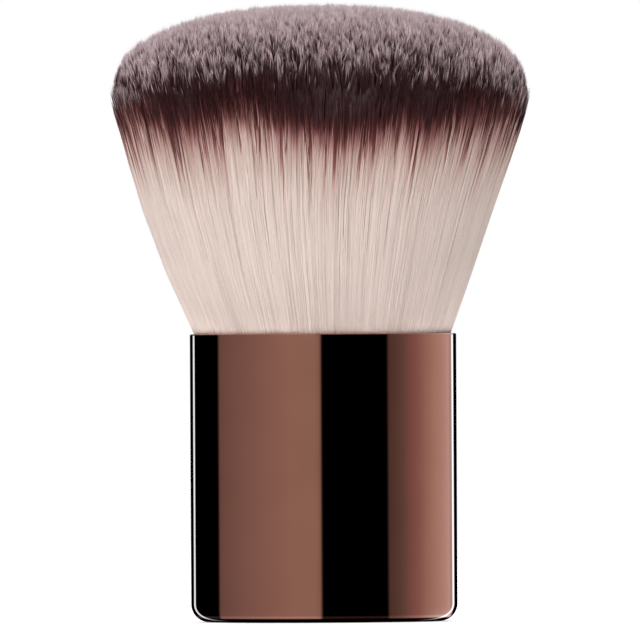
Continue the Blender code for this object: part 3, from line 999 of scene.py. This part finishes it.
# A fibre's rings of points, from root to tip: place along it, width, whether the dye follows its
# own tip (1) or the dome (0), and by how many millimetres the red brown is drawn out at the sides,
# as painted edge light and shade at the left and right outline seen from the camera
SIDE_PLACES = np.array([0.0, 0.30, 0.56, 0.76, 0.88, 0.95, 1.0])
SIDE_WIDTHS = np.array([1.0, 1.0, 1.0, 1.0, 0.95, 0.75, 0.0])
SIDE_NEAR_TIP = np.array([0.0, 0.0, 0.0, 0.0, 0.0, 0.9, 1.0])
PAINTED_EDGE_DRAWN_OUT = np.array([0, -1.2, -4.0, -5.4, -4.8, -1.6, 0])
# Millimetres by which locks, single fibres and low fibres end short of the dome
SHORT_SPREAD = (0.8, 2.2)
LOCK_SHORT = 2.4
OWN_SHORT = 1.2
LOWEST = 2.5
# How single fibres differ: angles in radians, and shares of all fibres
OWN_TURN = 0.01
OWN_LEAN = 0.006
OWN_BEND = 0.004
OWN_PUFF = 0.02 * MM
LOOSEST = 0.45 * MM
LOW_SHARE = 0.05
STRAY_SHARE = 0.01
STRAY_LEAN = 8.0
LOOSE_SHARE = 0.12
OWN_LUCK_SHARE = 0.6
SIDE_PINCH = 0.6

lock_dice = np.random.default_rng(20)
side_shape = (SIDE_LAYERS, SIDE_LOCKS)
side_lock = {
    "group": lock_dice.integers(0, DYE_GROUPS, side_shape),
    "luck": lock_dice.random(side_shape),
    "short": lock_dice.beta(*SHORT_SPREAD, side_shape),
    "bend": lock_dice.normal(0, 0.020, side_shape),
    "curl": lock_dice.normal(0, 0.003, side_shape),
    "puff": lock_dice.normal(0, 0.02 * MM, side_shape),
}
print(f"side fibres: {SIDE_PIECES * SIDE_FIBRES}, in {SIDE_LAYERS} layers of {SIDE_LOCKS} locks")


# %% Lay the side fibres
def side_fibres(name, count, seed):
    """One piece of the hair at the outside, spread round the head on the golden angle."""
    dice = np.random.default_rng(seed)
    ring = np.sqrt(dice.uniform(SIDE_INNER**2, SIDE_OUTER**2, count))
    turned = np.arange(count) * GOLDEN_TURN + seed + dice.normal(0, OWN_TURN, count)
    turned %= 2 * math.pi
    layer = (ring - SIDE_INNER) / (SIDE_OUTER - SIDE_INNER) * SIDE_LAYERS
    layer = layer.astype(int).clip(0, SIDE_LAYERS - 1)
    place = turned / (2 * math.pi) * SIDE_LOCKS + LAYER_STAGGER * layer
    lock = {word: values[layer, place.astype(int) % SIDE_LOCKS] for word, values in side_lock.items()}
    off_centre = (place % 1 - 0.5) * 2 * math.pi / SIDE_LOCKS

    low = dice.random(count) < LOW_SHARE
    top = crown(ring) - MM * (LOCK_SHORT * lock["short"] + OWN_SHORT * dice.beta(*SHORT_SPREAD, count))
    top -= MM * low * dice.uniform(0.0, LOWEST, count)
    height = -root_depth + (top[:, None] + root_depth) * SIDE_PLACES
    rise = (height + root_depth) / (shoulder_height + root_depth)
    lean = dice.normal(0, OWN_LEAN, count)
    strays = dice.random(count) < STRAY_SHARE
    lean[strays] *= STRAY_LEAN
    bend = lock["bend"] + dice.normal(0, OWN_BEND, count) - SIDE_PINCH * off_centre
    angle = turned[:, None] + lean[:, None] * (rise - 0.4) + bend[:, None] * rise**4
    angle += lock["curl"][:, None] * np.sin(rise * math.pi * 2.5) * rise
    loose = (dice.random(count) < LOOSE_SHARE) * dice.uniform(0, LOOSEST, count)
    puff = (lock["puff"] + dice.normal(0, OWN_PUFF, count) + loose)[:, None] * rise**4
    radius = ring[:, None] * flare(height) + puff
    across = radius * np.cos(angle) + bow(height)
    centres = np.stack([across, radius * np.sin(angle), rim_height + height], -1)

    below_dome = crown(ring)[:, None] - height
    below_tip = top[:, None] - height
    from_tip = below_dome * (1 - SIDE_NEAR_TIP) + below_tip * SIDE_NEAR_TIP
    luck = np.where(dice.random(count) < OWN_LUCK_SHARE, dice.random(count), lock["luck"])
    from_tip = from_tip + trimmed_and_edge_lit(ring, turned, SIDE_NEAR_TIP, luck)
    # Painted edge light and shade: at the left and right outline the red brown runs further down
    from_tip += MM * np.cos(turned[:, None]) ** 4 * PAINTED_EDGE_DRAWN_OUT
    from_tip[low, -1] = dice.uniform(0.4 * MM, 1.2 * MM, low.sum())
    from_tip[:, 0] = ROOT_DISTANCE
    columns = dye_columns(lock["group"], dice)
    lay_fibres(name, centres, SIDE_HALF_WIDTH * SIDE_WIDTHS, from_tip, columns, dice)


for index in range(SIDE_PIECES):
    side_fibres(f"side_fibres_{index + 1}", SIDE_FIBRES, SIDE_SEED + index)

# %% [markdown]
# ## Crown fibres
#
# The crown is what touches the powder: a dome of tips, packed so close that only their last few
# millimetres show. Places on the golden spiral fill a disc evenly with no rows. A grid of cells,
# bent by a few waves so that no row of it shows, gathers the fibres into locks. Each lock sways
# its own way, draws its tips together and ends at its own height. Between the tall ones the eye
# falls a few millimetres deep, to where the dye is dark.
#
# The head is trimmed last, so a tip's height follows from the place to which it sways.

# %% Measure the crown fibres
CROWN_FIBRES = 72000
CROWN_PIECES = 6
CROWN_SEED = 31
CROWN_DEPTH = 7.5 * MM
CROWN_HALF_WIDTH = 0.056 * MM
CROWN_RING = 0.982
CROWN_EDGE = 0.99
# With these the dome stands up to 0.6 mm above the plain outline near its edge, and halfway out
# nearly 0.2 mm below it
OVERSHOOT = 2.2 * MM
HOLLOW = 0.20 * MM
LOCK_SIZE = 0.52 * MM
LOCK_GRID = 160
LOCK_CENTRE = LOCK_GRID // 2
WAVES_EACH = 4
WAVE_HEIGHT = 0.12 * MM
WAVE_SEED = 5
# How far the tips of locks and of single fibres sway, and their middles wiggle
LOCK_SWAY = 0.60 * MM
OWN_SWAY = 0.05 * MM
LOCK_WIGGLE = 0.14 * MM
OWN_WIGGLE = 0.03 * MM
CROWN_PINCH = 0.7
OWN_CROWN_LUCK_SHARE = 0.35
# A fibre's rings of points, from root to tip: depth below the tip, width, whether the cut takes
# the dye of a tip (1) or of the outside (0), wiggle, and share of the tuck at the outside
CROWN_BELOW = np.array([CROWN_DEPTH, 3.2 * MM, 1.2 * MM, 0.0])
CROWN_WIDTHS = np.array([1.0, 1.0, 0.85, 0.0])
CROWN_NEAR_TIP = np.array([0.0, 0.5, 1.0, 1.0])
CROWN_WIGGLE = np.array([0.0, 1.0, -1.0, 0.0])
CROWN_TUCK = np.array([1.0, 0.3, 0.0, 0.0])
TUCKED_IN = 0.6 * MM


def waves(places, lengths, height, dice):
    """A smooth random shift (x, y) for each place: a few waves of each length."""
    shift = np.zeros_like(places)
    for length in lengths:
        for _ in range(WAVES_EACH):
            heading = dice.uniform(0, 2 * math.pi)
            way = np.array([math.cos(heading), math.sin(heading)])
            phase = places @ way * (2 * math.pi / length) + dice.uniform(0, 2 * math.pi)
            shift += height * np.sin(phase)[:, None] * way
    return shift


grid_shape = (LOCK_GRID, LOCK_GRID)
crown_lock = {
    "group": lock_dice.integers(0, DYE_GROUPS, grid_shape),
    "luck": lock_dice.random(grid_shape),
    "short": lock_dice.beta(1.0, 1.6, grid_shape),
    "sway": lock_dice.normal(0, LOCK_SWAY, (*grid_shape, 2)),
    "wiggle": lock_dice.normal(0, LOCK_WIGGLE, (*grid_shape, 2)),
}
print(f"crown fibres: {CROWN_FIBRES}, in locks {LOCK_SIZE / MM:.2f} mm wide")


# %% Set the crown fibres
def crown_fibres(name, first, last, seed):
    """One piece of the crown: so many of the fibres, counted from the middle outwards."""
    dice = np.random.default_rng(seed)
    count = last - first
    order = np.arange(first, last) + 0.5
    ring = CROWN_RING * np.sqrt(order / CROWN_FIBRES)
    turned = (order * GOLDEN_TURN) % (2 * math.pi)
    end = ring * flare(crown(ring))
    ends = np.stack([end * np.cos(turned), end * np.sin(turned)], -1)
    warped = ends + waves(ends, (1.3 * MM, 2.7 * MM), WAVE_HEIGHT, np.random.default_rng(WAVE_SEED))
    cell = np.floor(warped / LOCK_SIZE).astype(int) + LOCK_CENTRE
    lock = {word: values[cell[:, 0], cell[:, 1]] for word, values in crown_lock.items()}
    off_centre = warped - (cell - LOCK_CENTRE + 0.5) * LOCK_SIZE

    # Locks near the shoulder sway less, and none sways past it
    inside = (1 - 0.6 * np.clip((ring - 0.85) / 0.12, 0, 1))[:, None]
    sway = (lock["sway"] + dice.normal(0, OWN_SWAY, (count, 2))) * inside - CROWN_PINCH * off_centre
    wiggle = (lock["wiggle"] + dice.normal(0, OWN_WIGGLE, (count, 2))) * inside
    swayed = ends + sway
    out = np.hypot(swayed[:, 0], swayed[:, 1]) / flare(crown(ring))
    sway += swayed * (np.minimum(1, CROWN_EDGE / np.maximum(out, 0.01)) - 1)[:, None]
    out = np.minimum(out, CROWN_EDGE)

    # Locks end short of the dome, more so near the shoulder, and a little fuzz stands above it
    short = (0.7 + 1.1 * ring**4) * lock["short"] + 0.4 * dice.random(count)
    fuzz = np.minimum(dice.exponential(0.08, count), 0.4)
    dome = crown(out) + OVERSHOOT * out**7 * (1 - out**8) - HOLLOW * np.sin(math.pi * out) ** 2
    top = dome + MM * (fuzz - short + 0.06)
    height = top[:, None] - CROWN_BELOW
    radius = ring[:, None] * flare(height) - TUCKED_IN * ring[:, None] ** 8 * CROWN_TUCK
    bend = ((CROWN_DEPTH - CROWN_BELOW) / CROWN_DEPTH) ** 3.5
    across = radius * np.cos(turned[:, None]) + bow(height)
    across = across + sway[:, :1] * bend + wiggle[:, :1] * CROWN_WIGGLE
    deep = radius * np.sin(turned[:, None]) + sway[:, 1:] * bend + wiggle[:, 1:] * CROWN_WIGGLE
    centres = np.stack([across, deep, rim_height + height], -1)
    luck = np.where(dice.random(count) < OWN_CROWN_LUCK_SHARE, dice.random(count), lock["luck"])
    from_tip = CROWN_BELOW[None, :] + trimmed_and_edge_lit(ring, turned, CROWN_NEAR_TIP, luck)
    columns = dye_columns(lock["group"], dice)
    lay_fibres(name, centres, CROWN_HALF_WIDTH * CROWN_WIDTHS, from_tip, columns, dice)


each = CROWN_FIBRES // CROWN_PIECES
for index in range(CROWN_PIECES):
    crown_fibres(f"crown_fibres_{index + 1}", index * each, (index + 1) * each, CROWN_SEED + index)

# %% [markdown]
# ## Core of the bundle
#
# Under the layers that show, the bundle is simply full of hair. A turned core stands for it, a
# little inside the side fibres and some millimetres under the tips. It has the same dye, so
# what shows between two fibres looks like more fibres further in. Round the core the map sweeps
# over all the dye columns several times.

# %% Turn the core
CORE_SHARE = 0.978
CORE_DEPTH = 5.5 * MM
CORE_STEPS = 128
CORE_SIDE_RINGS = 12
CORE_TOP_RINGS = 14

core_top = crown(np.float64(CORE_SHARE)) - CORE_DEPTH
core_heights = np.linspace(-root_depth, core_top, CORE_SIDE_RINGS)
outline = [(0, rim_height - root_depth)]
outline += [(CORE_SHARE * flare(height), rim_height + height) for height in core_heights]
for share in np.linspace(CORE_SHARE, 0, CORE_TOP_RINGS)[1:]:
    height = crown(share) - CORE_DEPTH
    outline.append((share * flare(height), rim_height + height))
core = spun_piece("hair_core", outline, CORE_STEPS)

# %% Map the dye on the core
CORE_SWEEPS = 16
# The dye starts this much further from the tip, and from one depth on skips a length of itself
CORE_AHEAD = 3.0 * MM
CORE_SKIPPED = 12 * MM
CORE_SKIP_FROM = 15 * MM
CORE_SKIP_SPAN = 8 * MM
CORE_MARGIN = 0.002
DEEPEST_SHARE = 0.98

shape = bmesh.new()
shape.from_mesh(core.data)
map_layer = shape.loops.layers.uv.new("OFBake")
for face in shape.faces:
    centre = face.calc_center_median()
    around = math.atan2(centre.y, centre.x) / (2 * math.pi) % 1
    sweep = math.floor(around * CORE_SWEEPS)
    for loop in face.loops:
        place = loop.vert.co
        radius = math.hypot(place.x, place.y)
        own = math.atan2(place.y, place.x) / (2 * math.pi) if radius > 0 else around
        across = (around + (own - around + 0.5) % 1 - 0.5) * CORE_SWEEPS - sweep
        height = place.z - rim_height
        share = min(1.0, radius / flare(height))
        depth = float(crown(np.float64(share))) - height + CORE_AHEAD
        depth += CORE_SKIPPED * min(1.0, max(0.0, (depth - CORE_SKIP_FROM) / CORE_SKIP_SPAN))
        along = 1 - min(depth, DEEPEST_SHARE * DYE_LENGTH) / DYE_LENGTH
        loop[map_layer].uv = (CORE_MARGIN + (1 - 2 * CORE_MARGIN) * across, along)
for vert in shape.verts:
    vert.co.x += bow(vert.co.z - rim_height)
shape.to_mesh(core.data)
shape.free()
core.data.materials.append(fibre)
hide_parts("bristle_head")
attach(core, "root")
print(f"hair_core: {len(core.data.polygons)} faces")

# %% [markdown]
# ## Sizes at the end
#
# The dressed brush has to keep the size of the solid one. Both boxes are printed, to be compared.

# %% Print the sizes
dressed_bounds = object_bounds()
for word, (low, high) in (("solid", solid_bounds), ("dressed", dressed_bounds)):
    print(word, [round((b - a) / MM, 2) for a, b in zip(low, high)], "mm")
